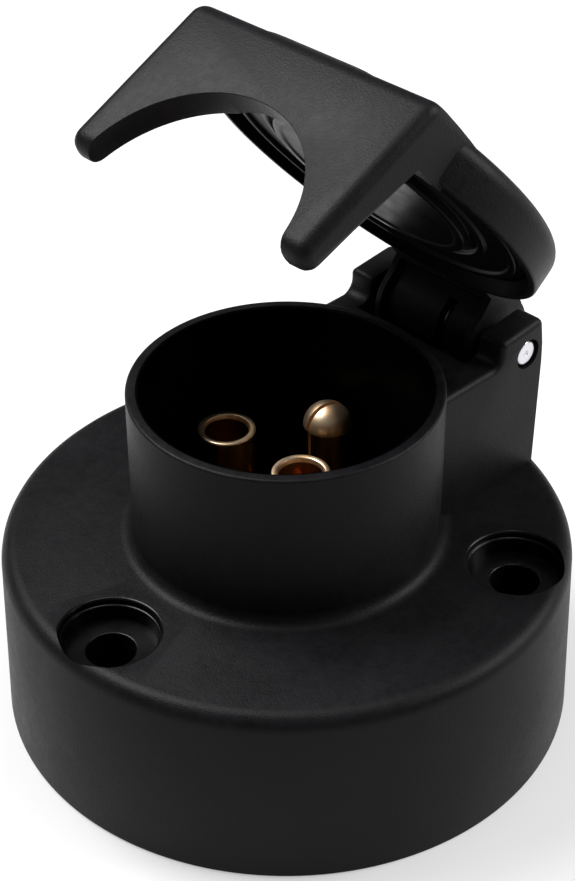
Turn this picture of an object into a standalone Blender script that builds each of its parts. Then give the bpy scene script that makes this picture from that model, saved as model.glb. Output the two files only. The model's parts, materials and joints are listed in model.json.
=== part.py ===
"""Seven-pole round trailer socket with a sprung flap lid.

Origin: cup axis on the mounting plane, +Z out of the mouth of the cup, hinge of the lid towards +Y.
Lengths are in metres.
"""
import math

import bmesh
import bpy
from mathutils import Matrix, Vector

MM = 0.001
GAP = 0.3 * MM  # clearance kept between pieces that touch

# Housing
BASE_FOOT_RADIUS = 34.2 * MM
BASE_RADIUS = 33.5 * MM
BASE_HEIGHT = 22.9 * MM
BASE_EDGE_RADIUS = 2.0 * MM
BASE_WALL = 2.4 * MM
TOP_PLATE = 3.0 * MM
CUP_RADIUS = 18.05 * MM
CUP_BORE = 16.55 * MM
CUP_TOP = 42.6 * MM
CUP_FILLET = 1.6 * MM
CUP_SKIRT_RADIUS = 20.2 * MM
CUP_SKIRT_END = 14.8 * MM

# Fixing screws: three through holes, the first one opposite the hinge
FIXING_CIRCLE = 27.3 * MM
FIXING_ANGLES = [math.radians(angle) for angle in (270, 30, 150)]
FIXING_HOLE = 2.8 * MM
COUNTERBORE = 5.65 * MM
COUNTERBORE_DEPTH = 2.7 * MM
BOSS_RADIUS = 5.2 * MM

# Hinge block and its axis, which runs along X
BLOCK_HALF = 12.3 * MM
BLOCK_BACK = 29.9 * MM
BLOCK_TOP_BACK = 30.5 * MM
SHELF_HEIGHT = 40.0 * MM
EAR_FRONT = 23.0 * MM
EAR_HEIGHT = 43.6 * MM
EAR_FRONT_HEIGHT = 42.9 * MM
EAR_CORNER = 1.2 * MM
SLOT_HALF = 8.6 * MM
SLOT_FRONT = 20.8 * MM
SLOT_FLOOR = 33.6 * MM
HINGE_Y = 27.7 * MM
HINGE_Z = 39.6 * MM
PIN_RADIUS = 1.6 * MM
PIN_HALF = 12.05 * MM

# Lid, described in its closed position
OPENING = math.radians(51.8)
LID_RADIUS = 21.9 * MM
LID_INNER = 20.1 * MM
LID_RIM = HINGE_Z + 2.6 * MM
LID_TOP = HINGE_Z + 8.15 * MM
LID_EDGE_RADIUS = 2.2 * MM
LID_CEILING = 45.2 * MM
KNUCKLE_RADIUS = 5.3 * MM
KNUCKLE_HALF = 7.55 * MM
CHEEK_THICK = 0.9 * MM
BARREL_RADIUS = 4.3 * MM
POCKET_RADIUS = 3.5 * MM
POCKET_SIDES = (-3.3 * MM, 3.0 * MM)
LEG_SLIT = (1.5 * MM, 2.9 * MM)

# Claw at the front of the lid, which holds the plug in
CLAW_HALF = 17.4 * MM
CLAW_ROOT = (-20.3 * MM, 47.65 * MM)
CLAW_TILT = math.radians(11.9)
CLAW_REACH = 21.6 * MM
CLAW_ROOT_THICK = 4.6 * MM
CLAW_TIP_THICK = 3.8 * MM
NOTCH_RADIUS = 14.0 * MM
NOTCH_CENTRE = 22.4 * MM
CUP_RELIEF = 18.6 * MM

# Contacts: six on a ring, one near the middle
CONTACT_RING = 12.2 * MM
CONTACT_ANGLES = [math.radians(angle) for angle in (111.5, 171.5, 231.5, 291.5, 351.5, 46)]
MIDDLE_CONTACT = (0.5 * MM, 1.9 * MM)
TUBE_RADIUS = 3.5 * MM
TUBE_BORE = 2.6 * MM
TUBE_TOP = 29.8 * MM
PIN_HEAD_RADIUS = 2.95 * MM
PIN_SHANK_RADIUS = 2.6 * MM
PIN_SHOULDER = 29.4 * MM
PIN_TIP = 32.3 * MM
NECK_RADIUS = 3.0 * MM
BARREL_BOTTOM = 3.6 * MM
WIRE_BORE = 1.9 * MM
TERMINAL_HEIGHT = 6.8 * MM

# Carrier that holds the contacts
CARRIER_RADIUS = 16.2 * MM
CARRIER_TOP = 19.5 * MM
CARRIER_BOTTOM = 12.5 * MM
FLANGE_THICK = 2.0 * MM
CARRIER_SCREW_X = 21.8 * MM

# Sealing plug at the back, with the sleeve for the cable
REAR_SEAL_TOP = 2.4 * MM
CABLE_HOLE = 3.4 * MM
CABLE_SLEEVE = 5.0 * MM
CABLE_CIRCLE = 24.0 * MM
CABLE_ANGLE = math.radians(210)
SLEEVE_TOP = 9.0 * MM

ROUND = 72
MEDIUM = 32
SMALL = 16


def clear_scene():
    for item in list(bpy.data.objects):
        bpy.data.objects.remove(item, do_unlink=True)


def make_material(name, colour, roughness, metallic=0.0):
    material = bpy.data.materials.new(name)
    material.use_nodes = True
    shader = material.node_tree.nodes["Principled BSDF"]
    shader.inputs["Base Color"].default_value = (*colour, 1.0)
    shader.inputs["Roughness"].default_value = roughness
    shader.inputs["Metallic"].default_value = metallic
    return material


def add_object(name, shape, material=None, origin=(0.0, 0.0, 0.0)):
    """Turn a bmesh into an object with outward faces and its origin at a given point."""
    bmesh.ops.remove_doubles(shape, verts=shape.verts, dist=1e-7)
    bmesh.ops.dissolve_degenerate(shape, edges=shape.edges, dist=1e-7)
    bmesh.ops.recalc_face_normals(shape, faces=shape.faces)
    bmesh.ops.translate(shape, verts=shape.verts, vec=-Vector(origin))
    mesh = bpy.data.meshes.new(name)
    shape.to_mesh(mesh)
    shape.free()
    mesh.shade_smooth()
    mesh.set_sharp_from_angle(angle=math.radians(35))
    item = bpy.data.objects.new(name, mesh)
    item.location = origin
    bpy.context.scene.collection.objects.link(item)
    if material:
        mesh.materials.append(material)
    return item


def arc(centre, radius, start, end, steps):
    """Points on an arc, angles in degrees."""
    angles = [math.radians(start + (end - start) * i / steps) for i in range(steps + 1)]
    return [(centre[0] + radius * math.cos(a), centre[1] + radius * math.sin(a)) for a in angles]


def turned(profile, segments=MEDIUM, centre=(0.0, 0.0), closed=False):
    """Spin a profile of (radius, height) points about a vertical axis."""
    shape = bmesh.new()
    verts = [shape.verts.new((radius, 0.0, height)) for radius, height in profile]
    pairs = list(zip(verts, verts[1:]))
    if closed:
        pairs.append((verts[-1], verts[0]))
    edges = [shape.edges.new(pair) for pair in pairs]
    bmesh.ops.spin(shape, geom=verts + edges, angle=2 * math.pi, steps=segments,
                   axis=(0, 0, 1), cent=(0, 0, 0), use_merge=True)
    bmesh.ops.remove_doubles(shape, verts=shape.verts, dist=1e-6)
    bmesh.ops.translate(shape, verts=shape.verts, vec=(centre[0], centre[1], 0.0))
    return shape


def extruded(outline, half_width):
    """Extrude an outline of (y, z) points along X, evenly about the middle."""
    shape = bmesh.new()
    face = shape.faces.new([shape.verts.new((-half_width, y, z)) for y, z in outline])
    grown = bmesh.ops.extrude_face_region(shape, geom=[face])
    moved = [part for part in grown["geom"] if isinstance(part, bmesh.types.BMVert)]
    bmesh.ops.translate(shape, verts=moved, vec=(2 * half_width, 0.0, 0.0))
    return shape


def rod(radius, length, centre, direction=(0, 0, 1), segments=MEDIUM):
    """Cylinder of a given length about a centre."""
    turn = Vector((0, 0, 1)).rotation_difference(Vector(direction)).to_matrix().to_4x4()
    shape = bmesh.new()
    bmesh.ops.create_cone(shape, cap_ends=True, segments=segments, radius1=radius, radius2=radius,
                          depth=length, matrix=Matrix.Translation(centre) @ turn)
    return shape


def box(low, high):
    size = [b - a for a, b in zip(low, high)]
    middle = [(a + b) / 2 for a, b in zip(low, high)]
    shape = bmesh.new()
    bmesh.ops.create_cube(shape, size=1.0, matrix=Matrix.Translation(middle) @ Matrix.Diagonal((*size, 1.0)))
    return shape


def combine(target, tool_name, shape, operation):
    """Join a helper shape to an object, or cut it away, and keep the helper out of the model."""
    tool = add_object(tool_name, shape)
    tool.hide_render = True
    tool.display_type = "WIRE"
    modifier = target.modifiers.new(tool_name, "BOOLEAN")
    modifier.operation = operation
    modifier.solver = "EXACT"
    modifier.object = tool
    return tool


def polar(radius, angle):
    return radius * math.cos(angle), radius * math.sin(angle)


def housing(material):
    """Round base, cup and hinge block, moulded in one piece and hollow from behind."""
    edge = BASE_EDGE_RADIUS
    ceiling = BASE_HEIGHT - TOP_PLATE
    profile = [(BASE_FOOT_RADIUS, 0.0)]
    profile += arc((BASE_RADIUS - edge, BASE_HEIGHT - edge), edge, 0, 90, 4)
    profile += arc((CUP_RADIUS + CUP_FILLET, BASE_HEIGHT + CUP_FILLET), CUP_FILLET, 270, 180, 4)
    profile += [(CUP_RADIUS, CUP_TOP - 0.4 * MM), (CUP_RADIUS - 0.4 * MM, CUP_TOP), (0.0, CUP_TOP)]
    core = [(0.0, CUP_SKIRT_END), (CUP_SKIRT_RADIUS, CUP_SKIRT_END), (CUP_SKIRT_RADIUS, ceiling)]
    wall = [(BASE_RADIUS - BASE_WALL, ceiling), (BASE_FOOT_RADIUS - BASE_WALL, 0.0)]
    item = add_object("housing", turned(profile + core + wall, ROUND, closed=True), material)

    combine(item, "add_hinge_block", hinge_block_shape(), "UNION")
    for number, angle in enumerate(FIXING_ANGLES, 1):
        x, y = polar(FIXING_CIRCLE, angle)
        boss = rod(BOSS_RADIUS, ceiling + GAP, (x, y, (ceiling + GAP) / 2))
        combine(item, f"add_boss_{number}", boss, "UNION")
    for side in (-1, 1):
        height = ceiling + GAP - CUP_SKIRT_END
        middle = CUP_SKIRT_END + height / 2
        lug = rod(2.9 * MM, height, (side * CARRIER_SCREW_X, 0.0, middle), segments=SMALL)
        combine(item, f"add_lug_{side}", lug, "UNION")

    lip = 0.4 * MM
    below = CUP_SKIRT_END - 5 * MM
    bore = [(0.0, below), (CUP_BORE, below), (CUP_BORE, CUP_TOP - lip), (CUP_BORE + lip, CUP_TOP),
            (CUP_BORE + lip, CUP_TOP + 5 * MM), (0.0, CUP_TOP + 5 * MM)]
    combine(item, "cut_cup_bore", turned(bore, ROUND), "DIFFERENCE")
    for number, angle in enumerate(FIXING_ANGLES, 1):
        x, y = polar(FIXING_CIRCLE, angle)
        seat = BASE_HEIGHT - COUNTERBORE_DEPTH
        hole = [(0.0, -5 * MM), (FIXING_HOLE, -5 * MM), (FIXING_HOLE, seat), (COUNTERBORE, seat),
                (COUNTERBORE, BASE_HEIGHT + 5 * MM), (0.0, BASE_HEIGHT + 5 * MM)]
        combine(item, f"cut_fixing_hole_{number}", turned(hole, MEDIUM, (x, y)), "DIFFERENCE")
    for side in (-1, 1):
        pilot = rod(1.35 * MM, 8 * MM, (side * CARRIER_SCREW_X, 0.0, CUP_SKIRT_END), segments=SMALL)
        combine(item, f"cut_pilot_{side}", pilot, "DIFFERENCE")
    slot = box((-SLOT_HALF, SLOT_FRONT, SLOT_FLOOR), (SLOT_HALF, BLOCK_BACK + 5 * MM, EAR_HEIGHT + 5 * MM))
    combine(item, "cut_hinge_slot", slot, "DIFFERENCE")
    bearing = rod(PIN_RADIUS + GAP, 2.2 * BLOCK_HALF, (0.0, HINGE_Y, HINGE_Z), (1, 0, 0), 24)
    combine(item, "cut_pin_bore", bearing, "DIFFERENCE")
    core_out = box((-9.6 * MM, 20.6 * MM, ceiling - 2 * MM), (9.6 * MM, BLOCK_BACK - 2.5 * MM, 30.5 * MM))
    combine(item, "cut_block_core", core_out, "DIFFERENCE")
    return item


def hinge_block_shape():
    """Block behind the cup: a shelf near the rim and a raised ear, extruded across."""
    foot = BASE_HEIGHT - 1.4 * MM
    fillet = 1.5 * MM
    outline = [(5 * MM, foot), (BLOCK_BACK, foot)]
    outline += arc((BLOCK_TOP_BACK - EAR_CORNER, EAR_HEIGHT - EAR_CORNER), EAR_CORNER, 0, 90, 4)
    outline += arc((EAR_FRONT + 0.6 * MM, EAR_FRONT_HEIGHT - 0.6 * MM), 0.6 * MM, 90, 180, 2)
    outline += arc((EAR_FRONT - fillet, SHELF_HEIGHT + fillet), fillet, 360, 270, 3)
    outline += [(5 * MM, SHELF_HEIGHT)]
    return extruded(outline, BLOCK_HALF)


def contact_carrier(material, places):
    """Disc that closes the cup from behind and holds the contacts, screwed on by two lugs."""
    flange = CARRIER_BOTTOM + FLANGE_THICK
    profile = [(0.0, CARRIER_BOTTOM), (CUP_SKIRT_RADIUS, CARRIER_BOTTOM), (CUP_SKIRT_RADIUS, flange),
               (CARRIER_RADIUS, flange), (CARRIER_RADIUS, CARRIER_TOP), (0.0, CARRIER_TOP)]
    item = add_object("contact_carrier", turned(profile, 48), material)
    reach = CARRIER_SCREW_X + 0.6 * MM
    arm = box((-reach, -2.8 * MM, CARRIER_BOTTOM + 0.2 * MM), (reach, 2.8 * MM, flange - 0.2 * MM))
    combine(item, "add_flange_ears", arm, "UNION")
    for number, (x, y) in enumerate(places, 1):
        middle = (CARRIER_BOTTOM + CARRIER_TOP) / 2
        hole = rod(NECK_RADIUS + GAP, 12 * MM, (x, y, middle), segments=20)
        combine(item, f"cut_contact_hole_{number}", hole, "DIFFERENCE")
    for side in (-1, 1):
        hole = rod(1.35 * MM, 8 * MM, (side * CARRIER_SCREW_X, 0.0, flange), segments=12)
        combine(item, f"cut_screw_hole_{side}", hole, "DIFFERENCE")
    return item


def contact_tail():
    """Lower half of every contact: neck in the carrier, barrel with the bore for the wire."""
    neck_end = CARRIER_BOTTOM - GAP
    return [(NECK_RADIUS, neck_end), (TUBE_RADIUS, neck_end), (TUBE_RADIUS, BARREL_BOTTOM),
            (WIRE_BORE, BARREL_BOTTOM), (WIRE_BORE, 10.5 * MM), (0.0, 10.5 * MM)]


def contact(name, place, aim, profile, material):
    """Turned contact with a cross hole for its terminal screw, at a place and aimed outwards."""
    item = add_object(name, turned(profile, SMALL, place), material, (*place, 0.0))
    start = Vector((*place, TERMINAL_HEIGHT))
    outwards = Vector((math.cos(aim), math.sin(aim), 0.0))
    hole = rod(1.35 * MM, 5 * MM, start + outwards * 2.7 * MM, outwards, 10)
    combine(item, f"cut_{name}", hole, "DIFFERENCE")
    return item


def tube_contact(name, place, aim, material):
    """Female contact: a tube with a chamfered mouth."""
    step = CARRIER_TOP + GAP
    mouth = [(0.0, 21 * MM), (TUBE_BORE, 21 * MM), (TUBE_BORE, TUBE_TOP - 0.5 * MM),
             (TUBE_BORE + 0.4 * MM, TUBE_TOP), (TUBE_RADIUS - 0.25 * MM, TUBE_TOP),
             (TUBE_RADIUS, TUBE_TOP - 0.25 * MM), (TUBE_RADIUS, step), (NECK_RADIUS, step)]
    return contact(name, place, aim, mouth + contact_tail(), material)


def pin_contact(name, place, aim, material):
    """Male contact: a round pin with a domed end, split by a saw cut so that it springs."""
    rise = PIN_TIP - PIN_SHOULDER
    dome = [(PIN_HEAD_RADIUS * math.sin(a), PIN_SHOULDER + rise * math.cos(a))
            for a in (math.radians(18 * i) for i in range(6))]
    step = CARRIER_TOP + GAP
    body = [(PIN_SHANK_RADIUS, PIN_SHOULDER - 0.4 * MM), (PIN_SHANK_RADIUS, step)]
    body += [(NECK_RADIUS, step), (NECK_RADIUS, step - 0.5 * MM)]
    item = contact(name, place, aim, dome + body + contact_tail(), material)
    cut = box((-4 * MM, -0.28 * MM, 22 * MM), (4 * MM, 0.28 * MM, PIN_TIP + 3 * MM))
    turn = Matrix.Translation((*place, 0.0)) @ Matrix.Rotation(math.radians(78), 4, "Z")
    bmesh.ops.transform(cut, matrix=turn, verts=cut.verts)
    combine(item, "cut_saw_slot", cut, "DIFFERENCE")
    return item


def slotted_screw(name, seat, direction, head, shank, material):
    """Cheese-head screw. The seat is the point under its head, the direction points out of the head."""
    head_radius, head_height = head
    shank_radius, shank_length = shank
    profile = [(0.0, -shank_length), (shank_radius * 0.6, -shank_length),
               (shank_radius, -shank_length + shank_radius * 0.5), (shank_radius, 0.0),
               (head_radius, 0.0), (head_radius, head_height * 0.8),
               (head_radius * 0.85, head_height), (0.0, head_height)]
    shape = turned(profile, 14)
    turn = Vector((0, 0, 1)).rotation_difference(Vector(direction)).to_matrix().to_4x4()
    place = Matrix.Translation(seat) @ turn
    bmesh.ops.transform(shape, matrix=place, verts=shape.verts)
    item = add_object(name, shape, material, seat)
    slot = box((-2 * head_radius, -0.3 * MM, head_height * 0.45), (2 * head_radius, 0.3 * MM, 2 * head_height))
    bmesh.ops.transform(slot, matrix=place, verts=slot.verts)
    combine(item, f"cut_{name}", slot, "DIFFERENCE")
    return item


def open_lid(item):
    """Turn a piece that is described closed to its open position, with its origin on the hinge."""
    item.rotation_euler = (-OPENING, 0.0, 0.0)


def lid(material):
    """Flap: a shallow round cap with the claw in front and the hinge knuckle behind."""
    edge = LID_EDGE_RADIUS
    profile = [(0.0, LID_TOP)]
    profile += arc((LID_RADIUS - edge, LID_TOP - edge), edge, 90, 0, 5)
    profile += [(LID_RADIUS, LID_RIM), (0.0, LID_RIM)]
    hinge = (0.0, HINGE_Y, HINGE_Z)
    item = add_object("lid", turned(profile, ROUND), material, hinge)

    tools = [("trim_cap_front", trim_shape(), "DIFFERENCE")]
    tools += [("add_claw", claw_shape(), "UNION")]
    tools += [("cut_claw_notch", notch_shape(), "DIFFERENCE")]
    tools += [("add_bridge", bridge_shape(), "UNION")]
    tools += [("add_knuckle", rod(KNUCKLE_RADIUS, 2 * KNUCKLE_HALF, hinge, (1, 0, 0), 28), "UNION")]
    tools += [("cut_web_recess", recess_shape(), "DIFFERENCE")]
    tools += [("cut_spring_pocket", pocket_shape(), "DIFFERENCE")]
    tools += [("cut_pocket_mouth", box((POCKET_SIDES[0] + 0.1 * MM, HINGE_Y - 1.5 * MM, HINGE_Z - 7 * MM),
                                       (POCKET_SIDES[1] - 0.06 * MM, HINGE_Y + 3.2 * MM, HINGE_Z - 0.2 * MM)),
               "DIFFERENCE")]
    tools += [("cut_leg_slit", box((LEG_SLIT[0], HINGE_Y - 8.4 * MM, HINGE_Z - 7.4 * MM),
                                   (LEG_SLIT[1], HINGE_Y - 1 * MM, HINGE_Z + 1.1 * MM)), "DIFFERENCE")]
    tools += [("cut_lid_pin_bore", rod(PIN_RADIUS + GAP, 3 * KNUCKLE_HALF, hinge, (1, 0, 0), 20), "DIFFERENCE")]
    tools += [("cut_lid_hollow", turned([(0.0, LID_RIM - GAP / 3), (LID_INNER, LID_RIM - GAP / 3),
                                         (LID_INNER, LID_CEILING), (0.0, LID_CEILING)], ROUND), "DIFFERENCE")]
    tools += [("cut_cup_relief", rod(CUP_RELIEF, 30 * MM, (0, 0, LID_RIM - 14.9 * MM), segments=ROUND),
               "DIFFERENCE")]
    for tool_name, shape, operation in tools:
        bmesh.ops.translate(shape, verts=shape.verts, vec=-Vector(hinge))
        tool = combine(item, tool_name, shape, operation)
        tool.location = hinge
        open_lid(tool)
    open_lid(item)
    return item


def claw_axes():
    """Directions along the claw's outer face and out of it, as (y, z)."""
    along = Vector((-math.sin(CLAW_TILT), -math.cos(CLAW_TILT)))
    outward = Vector((-math.cos(CLAW_TILT), math.sin(CLAW_TILT)))
    return along, outward


def claw_shape():
    """Front of the lid and the plate that hangs from it, with rounded root and tip."""
    along, outward = claw_axes()
    root = Vector(CLAW_ROOT)
    tip = root + along * CLAW_REACH
    corner = 1.8 * MM
    outline = [(-2 * MM, CLAW_ROOT[1])]
    outline += arc((root.x + corner, root.y - corner), corner, 90, 180 - math.degrees(CLAW_TILT), 4)
    outline += [tuple(tip - along * 1.2 * MM), tuple(tip - outward * 1.2 * MM)]
    outline += [tuple(tip - outward * (CLAW_TIP_THICK - 1.0 * MM))]
    outline += [tuple(tip - outward * CLAW_TIP_THICK - along * 1.0 * MM)]
    inner_root = root + along * (CLAW_ROOT[1] - LID_RIM) - outward * CLAW_ROOT_THICK
    outline += [tuple(inner_root), (-2 * MM, LID_RIM)]
    return extruded(outline, CLAW_HALF)


def trim_shape():
    """Slab that takes the front of the round cap back behind the face of the claw."""
    along, outward = claw_axes()
    root = Vector(CLAW_ROOT)
    near = root - outward * 1.2 * MM
    far = root + outward * 6 * MM
    outline = [tuple(near - along * 2 * MM), tuple(near + along * 9 * MM)]
    outline += [tuple(far + along * 9 * MM), tuple(far - along * 2 * MM)]
    return extruded(outline, CLAW_HALF - 0.5 * MM)


def notch_shape():
    """Round bite out of the claw, square to its face."""
    along, outward = claw_axes()
    centre = Vector(CLAW_ROOT) + along * NOTCH_CENTRE
    return rod(NOTCH_RADIUS, 21.4 * MM, (0.0, centre.x, centre.y), (0.0, outward.x, outward.y), 60)


def bridge_shape():
    """Web between the wall of the lid and the knuckle."""
    inside = HINGE_Y - 9.5 * MM
    outline = [(HINGE_Y, HINGE_Z), (HINGE_Y, HINGE_Z + KNUCKLE_RADIUS - 0.05 * MM)]
    outline += [(HINGE_Y - 5.5 * MM, LID_TOP - 1.9 * MM), (inside, LID_TOP - 1.9 * MM)]
    outline += [(inside, LID_RIM), (HINGE_Y - 5.8 * MM, LID_RIM), (HINGE_Y - 5.2 * MM, HINGE_Z)]
    return extruded(outline, KNUCKLE_HALF)


def recess_shape():
    """Room in front of the web and the barrel, which leaves a thin cheek standing at each side."""
    outline = [(HINGE_Y - 4.6 * MM, LID_RIM - 0.25 * MM), (HINGE_Y - BARREL_RADIUS, HINGE_Z + 0.1 * MM)]
    outline += arc((HINGE_Y, HINGE_Z), BARREL_RADIUS, 180, 300, 10)
    outline += [(HINGE_Y + 4 * MM, HINGE_Z - 8 * MM), (HINGE_Y - 9 * MM, HINGE_Z - 8 * MM)]
    outline += [(HINGE_Y - 9 * MM, LID_RIM - 0.25 * MM)]
    return extruded(outline, KNUCKLE_HALF - CHEEK_THICK)


def pocket_shape():
    """Round room for the spring inside the barrel."""
    length = POCKET_SIDES[1] - POCKET_SIDES[0]
    middle = (POCKET_SIDES[0] + POCKET_SIDES[1]) / 2
    return rod(POCKET_RADIUS, length, (middle, HINGE_Y, HINGE_Z), (1, 0, 0), 28)


def lid_seal(material):
    """Rubber disc in the lid: a middle that dips into the cup and a flat ring that meets its rim."""
    face = CUP_TOP + GAP
    back = LID_CEILING - GAP
    middle = LID_RIM
    profile = [(0.0, middle), (12.1 * MM, middle), (12.6 * MM, middle + 0.3 * MM), (12.6 * MM, face)]
    profile += [(13.9 * MM, face), (14.1 * MM, face - 0.4 * MM), (14.6 * MM, face - 0.4 * MM)]
    profile += [(14.8 * MM, face), (18.5 * MM, face), (18.7 * MM, face - 0.4 * MM)]
    profile += [(19.4 * MM, face - 0.4 * MM), (19.7 * MM, face), (19.7 * MM, back), (0.0, back)]
    item = add_object("lid_seal", turned(profile, 48), material, (0.0, HINGE_Y, HINGE_Z))
    open_lid(item)
    return item


def hinge_pin(material):
    """Plain steel pin with bevelled ends."""
    shape = rod(PIN_RADIUS, 2 * PIN_HALF, (0.0, HINGE_Y, HINGE_Z), (1, 0, 0), 20)
    rims = [edge for edge in shape.edges if abs(edge.verts[0].co.x - edge.verts[1].co.x) < 1e-6]
    bmesh.ops.bevel(shape, geom=rims, offset=0.25 * MM, affect="EDGES", segments=1, profile=0.5, material=-1)
    return add_object("hinge_pin", shape, material, (0.0, HINGE_Y, HINGE_Z))


def lid_spring(material):
    """Torsion spring about the pin: its front leg stands on the housing, its rear leg lifts the web
    of the lid behind the pin, so that it closes the lid and winds up as the lid opens."""
    wire = 0.36 * MM
    coil = 2.4 * MM
    first = 2.2 * MM
    last = -2.4 * MM
    turns = 5
    start = math.radians(180)
    end = math.radians(90) - OPENING - 2 * math.pi * turns
    steps = turns * 12
    points = []
    for i in range(steps + 1):
        angle = start + (end - start) * i / steps
        x = first + (last - first) * i / steps
        points.append(Vector((x, HINGE_Y + coil * math.cos(angle), HINGE_Z + coil * math.sin(angle))))
    front_leg = points[0] - Vector((0.0, math.sin(start), -math.cos(start))) * 5.2 * MM
    rear_leg = points[-1] + Vector((0.0, math.sin(end), -math.cos(end))) * 1.2 * MM
    points = [front_leg] + points + [rear_leg]

    curve = bpy.data.curves.new("lid_spring", "CURVE")
    curve.dimensions = "3D"
    curve.bevel_depth = wire
    curve.bevel_resolution = 1
    curve.use_fill_caps = True
    spline = curve.splines.new("POLY")
    spline.points.add(len(points) - 1)
    origin = Vector((0.0, HINGE_Y, HINGE_Z))
    for target, point in zip(spline.points, points):
        target.co = (*(point - origin), 1.0)
    item = bpy.data.objects.new("lid_spring", curve)
    item.location = origin
    curve.materials.append(material)
    bpy.context.scene.collection.objects.link(item)
    return item


def rear_seal(material):
    """Rubber plug that closes the back of the base, with a sleeve that grips the cable."""
    radius = BASE_FOOT_RADIUS - BASE_WALL - 2 * GAP
    profile = [(0.0, GAP), (radius - 0.3 * MM, GAP), (radius, 2 * GAP), (radius - 0.2 * MM, REAR_SEAL_TOP),
               (0.0, REAR_SEAL_TOP)]
    item = add_object("rear_seal", turned(profile, 60), material)
    cable = polar(CABLE_CIRCLE, CABLE_ANGLE)
    sleeve = [(0.0, 3 * GAP), (CABLE_SLEEVE, 3 * GAP), (CABLE_SLEEVE, REAR_SEAL_TOP + 1 * MM),
              (CABLE_SLEEVE - 0.8 * MM, SLEEVE_TOP), (0.0, SLEEVE_TOP)]
    combine(item, "add_cable_sleeve", turned(sleeve, 24, cable), "UNION")
    hole = rod(CABLE_HOLE, 30 * MM, (*cable, 5 * MM), segments=20)
    combine(item, "cut_cable_hole", hole, "DIFFERENCE")
    for number, angle in enumerate(FIXING_ANGLES, 1):
        room = rod(BOSS_RADIUS + GAP, 12 * MM, (*polar(FIXING_CIRCLE, angle), 0.0), segments=24)
        combine(item, f"cut_boss_room_{number}", room, "DIFFERENCE")
    return item


def build():
    clear_scene()
    plastic = make_material("black_moulded_plastic", (0.017, 0.016, 0.017), 0.55)
    carrier_plastic = make_material("black_carrier_plastic", (0.008, 0.008, 0.009), 0.4)
    rubber = make_material("black_rubber", (0.006, 0.006, 0.006), 0.3)
    brass = make_material("turned_brass", (0.72, 0.45, 0.18), 0.28, 1.0)
    steel = make_material("zinc_plated_steel", (0.62, 0.62, 0.64), 0.3, 1.0)
    spring_steel = make_material("spring_steel", (0.35, 0.35, 0.36), 0.3, 1.0)

    places = [polar(CONTACT_RING, angle) for angle in CONTACT_ANGLES] + [MIDDLE_CONTACT]
    aims = CONTACT_ANGLES + [math.radians(261.5)]

    housing(plastic)
    contact_carrier(carrier_plastic, places)
    pin_contact("pin_contact", places[0], aims[0], brass)
    for number in range(1, 7):
        tube_contact(f"tube_contact_{number}", places[number], aims[number], brass)
    for number, (place, aim) in enumerate(zip(places, aims), 1):
        outwards = Vector((math.cos(aim), math.sin(aim), 0.0))
        seat = Vector((*place, TERMINAL_HEIGHT)) + outwards * (TUBE_RADIUS + GAP)
        slotted_screw(f"terminal_screw_{number}", seat, outwards, (2.1 * MM, 1.6 * MM),
                      (1.0 * MM, 2.5 * MM), steel)
    for number, side in enumerate((-1, 1), 1):
        seat = (side * CARRIER_SCREW_X, 0.0, CARRIER_BOTTOM - GAP)
        slotted_screw(f"carrier_screw_{number}", seat, (0, 0, -1), (2.3 * MM, 1.6 * MM),
                      (1.0 * MM, 6.0 * MM), steel)
    rear_seal(rubber)
    lid(plastic)
    lid_seal(rubber)
    hinge_pin(steel)
    lid_spring(spring_steel)


build()
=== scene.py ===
# %% [markdown]
# Seven-pole trailer socket
#
# This notebook dresses a small moulded socket for looks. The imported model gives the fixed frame:
# where the hinge is, how big everything is, and which body each piece rides on. Each step below
# first says what the real piece is and how it could be made, and then makes it.

# %% Load the frame
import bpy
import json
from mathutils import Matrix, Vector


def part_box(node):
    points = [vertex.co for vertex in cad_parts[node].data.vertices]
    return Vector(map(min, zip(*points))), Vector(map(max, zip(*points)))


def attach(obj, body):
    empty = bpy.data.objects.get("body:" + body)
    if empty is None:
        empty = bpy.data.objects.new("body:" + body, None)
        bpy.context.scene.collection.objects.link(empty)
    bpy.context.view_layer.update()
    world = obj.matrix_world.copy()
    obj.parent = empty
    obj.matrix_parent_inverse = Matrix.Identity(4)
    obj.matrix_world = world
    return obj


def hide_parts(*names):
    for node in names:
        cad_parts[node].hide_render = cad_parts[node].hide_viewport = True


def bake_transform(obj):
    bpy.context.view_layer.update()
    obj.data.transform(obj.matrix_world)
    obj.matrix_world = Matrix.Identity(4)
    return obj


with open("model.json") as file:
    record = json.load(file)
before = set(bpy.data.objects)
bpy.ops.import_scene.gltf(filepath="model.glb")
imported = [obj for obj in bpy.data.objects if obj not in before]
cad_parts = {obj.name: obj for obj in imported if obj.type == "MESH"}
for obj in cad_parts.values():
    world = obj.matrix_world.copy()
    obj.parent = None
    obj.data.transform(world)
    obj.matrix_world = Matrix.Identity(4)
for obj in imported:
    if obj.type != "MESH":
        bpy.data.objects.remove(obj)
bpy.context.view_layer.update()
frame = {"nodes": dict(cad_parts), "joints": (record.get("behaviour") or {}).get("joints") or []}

# %% Other modules
import json
import math

import bmesh
import bpy
from mathutils import Matrix, Vector

MM = 0.001

# %% [markdown]
# The hinge is the one moving joint, so every place on the lid is measured from its axis. The lid is
# drawn shut, which keeps it simple and symmetric, and each finished piece of it is then turned open
# by the angle that the joint still has to go before it is shut.

# %% Where the hinge is
hinge_joint = frame["joints"][0]
HINGE = Vector(hinge_joint["pos_m"])
OPENING = math.radians(-hinge_joint["range_deg"][0])
CUP_TOP = 42.6 * MM
print("hinge at", [round(v, 4) for v in HINGE], "open by", round(math.degrees(OPENING), 1), "degrees")

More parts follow.
